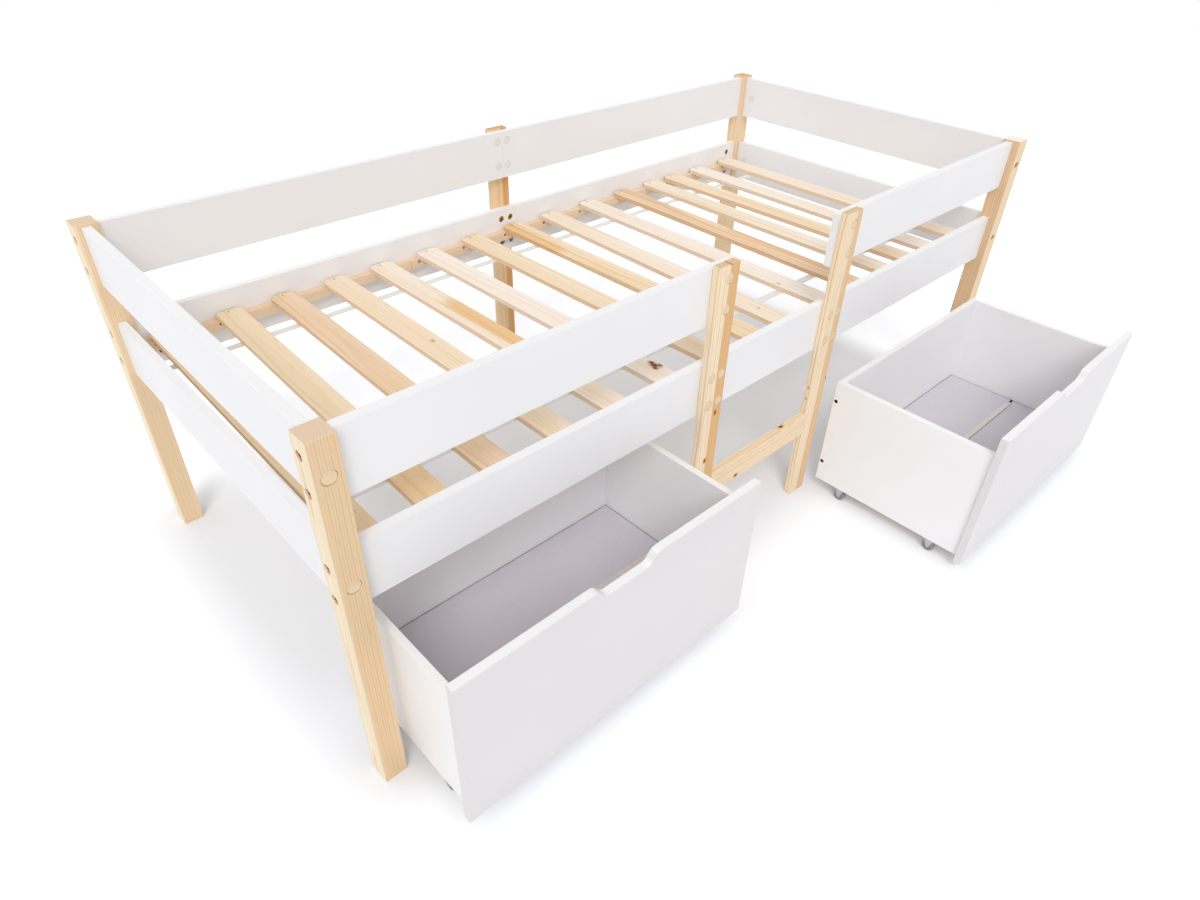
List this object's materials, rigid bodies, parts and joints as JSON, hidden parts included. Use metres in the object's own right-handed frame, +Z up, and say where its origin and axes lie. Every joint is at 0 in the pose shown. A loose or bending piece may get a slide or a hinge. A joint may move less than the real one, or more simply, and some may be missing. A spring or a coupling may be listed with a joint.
{
  "type": "storage bed",
  "caption": "Low raised single bed with guard boards, a step-in gap with a rung, a slatted base and rolling drawers that stand under it.",
  "frame": {"origin": "on the floor, under the middle of the bounding box, with the drawers pulled out as they stand in the picture", "axes": "+X along the bed's length towards its right end, +Y from the front with the drawers towards the back, +Z up"},
  "size_m": [2.08, 1.416, 0.76],
  "materials": {
    "pine": "clear satin lacquer over planed pine",
    "slat_pine": "planed, unfinished pine",
    "white_board": "smooth white satin paint over board",
    "drawer_floor": "pale grey faced board",
    "webbing": "woven off-white strap",
    "underframe": "planed pine, with zinc-plated caster forks",
    "wheel": "grey moulded plastic"
  },
  "bodies": {
    "bed_frame": {"post_front_left": "pine", "post_front_right": "pine", "post_back_left": "pine", "post_back_right": "pine", "post_back_middle": "pine", "stile_left": "pine", "stile_right": "pine", "rung": "pine", "rail_front_upper_left": "white_board", "rail_front_upper_right": "white_board", "rail_front_lower_left": "white_board", "rail_front_lower_middle": "white_board", "rail_front_lower_right": "white_board", "rail_back_upper_left": "white_board", "rail_back_upper_right": "white_board", "rail_back_lower_left": "white_board", "rail_back_lower_right": "white_board", "rail_left_upper": "white_board", "rail_left_lower": "white_board", "rail_right_upper": "white_board", "rail_right_lower": "white_board", "ledger_front": "pine", "ledger_back": "pine", "slat_01": "slat_pine", "slat_02": "slat_pine", "slat_03": "slat_pine", "slat_04": "slat_pine", "slat_05": "slat_pine", "slat_06": "slat_pine", "slat_07": "slat_pine", "slat_08": "slat_pine", "slat_09": "slat_pine", "slat_10": "slat_pine", "slat_11": "slat_pine", "slat_12": "slat_pine", "slat_13": "slat_pine", "slat_14": "slat_pine", "slat_15": "slat_pine", "slat_strap_front": "webbing", "slat_strap_back": "webbing"},
    "left_drawer": {"left_drawer_front": "white_board", "left_drawer_side_left": "white_board", "left_drawer_side_right": "white_board", "left_drawer_back": "white_board", "left_drawer_floor": "drawer_floor", "left_drawer_underframe": "underframe"},
    "left_wheel_front_left": {"left_drawer_wheel_front_left": "wheel"},
    "left_wheel_front_right": {"left_drawer_wheel_front_right": "wheel"},
    "left_wheel_back_left": {"left_drawer_wheel_back_left": "wheel"},
    "left_wheel_back_right": {"left_drawer_wheel_back_right": "wheel"},
    "right_drawer": {"right_drawer_front": "white_board", "right_drawer_side_left": "white_board", "right_drawer_side_right": "white_board", "right_drawer_back": "white_board", "right_drawer_floor": "drawer_floor", "right_drawer_underframe": "underframe"},
    "right_wheel_front_left": {"right_drawer_wheel_front_left": "wheel"},
    "right_wheel_front_right": {"right_drawer_wheel_front_right": "wheel"},
    "right_wheel_back_left": {"right_drawer_wheel_back_left": "wheel"},
    "right_wheel_back_right": {"right_drawer_wheel_back_right": "wheel"}
  },
  "joints": [
    {"name": "left_drawer_slide", "type": "slide", "parent": "bed_frame", "child": "left_drawer", "axis": [0, -1, 0], "range_m": [-0.176, 0.324]},
    {"name": "right_drawer_slide", "type": "slide", "parent": "bed_frame", "child": "right_drawer", "axis": [0, -1, 0], "range_m": [-0.441, 0.059]},
    {"name": "left_wheel_front_left_spin", "type": "hinge", "parent": "left_drawer", "child": "left_wheel_front_left", "pos_m": [-0.9565, -0.3537, 0.015], "axis": [1, 0, 0], "continuous": true},
    {"name": "left_wheel_front_right_spin", "type": "hinge", "parent": "left_drawer", "child": "left_wheel_front_right", "pos_m": [-0.2805, -0.3537, 0.015], "axis": [1, 0, 0], "continuous": true},
    {"name": "left_wheel_back_left_spin", "type": "hinge", "parent": "left_drawer", "child": "left_wheel_back_left", "pos_m": [-0.9565, -0.0997, 0.015], "axis": [1, 0, 0], "continuous": true},
    {"name": "left_wheel_back_right_spin", "type": "hinge", "parent": "left_drawer", "child": "left_wheel_back_right", "pos_m": [-0.2805, -0.0997, 0.015], "axis": [1, 0, 0], "continuous": true},
    {"name": "right_wheel_front_left_spin", "type": "hinge", "parent": "right_drawer", "child": "right_wheel_front_left", "pos_m": [0.2615, -0.6187, 0.015], "axis": [1, 0, 0], "continuous": true},
    {"name": "right_wheel_front_right_spin", "type": "hinge", "parent": "right_drawer", "child": "right_wheel_front_right", "pos_m": [0.9375, -0.6187, 0.015], "axis": [1, 0, 0], "continuous": true},
    {"name": "right_wheel_back_left_spin", "type": "hinge", "parent": "right_drawer", "child": "right_wheel_back_left", "pos_m": [0.2615, -0.3647, 0.015], "axis": [1, 0, 0], "continuous": true},
    {"name": "right_wheel_back_right_spin", "type": "hinge", "parent": "right_drawer", "child": "right_wheel_back_right", "pos_m": [0.9375, -0.3647, 0.015], "axis": [1, 0, 0], "continuous": true}
  ],
  "couplings": [
    {"joint": "left_wheel_front_left_spin", "follows": "left_drawer_slide", "rad_per_m": 66.667},
    {"joint": "left_wheel_front_right_spin", "follows": "left_drawer_slide", "rad_per_m": 66.667},
    {"joint": "left_wheel_back_left_spin", "follows": "left_drawer_slide", "rad_per_m": 66.667},
    {"joint": "left_wheel_back_right_spin", "follows": "left_drawer_slide", "rad_per_m": 66.667},
    {"joint": "right_wheel_front_left_spin", "follows": "right_drawer_slide", "rad_per_m": 66.667},
    {"joint": "right_wheel_front_right_spin", "follows": "right_drawer_slide", "rad_per_m": 66.667},
    {"joint": "right_wheel_back_left_spin", "follows": "right_drawer_slide", "rad_per_m": 66.667},
    {"joint": "right_wheel_back_right_spin", "follows": "right_drawer_slide", "rad_per_m": 66.667}
  ]
}
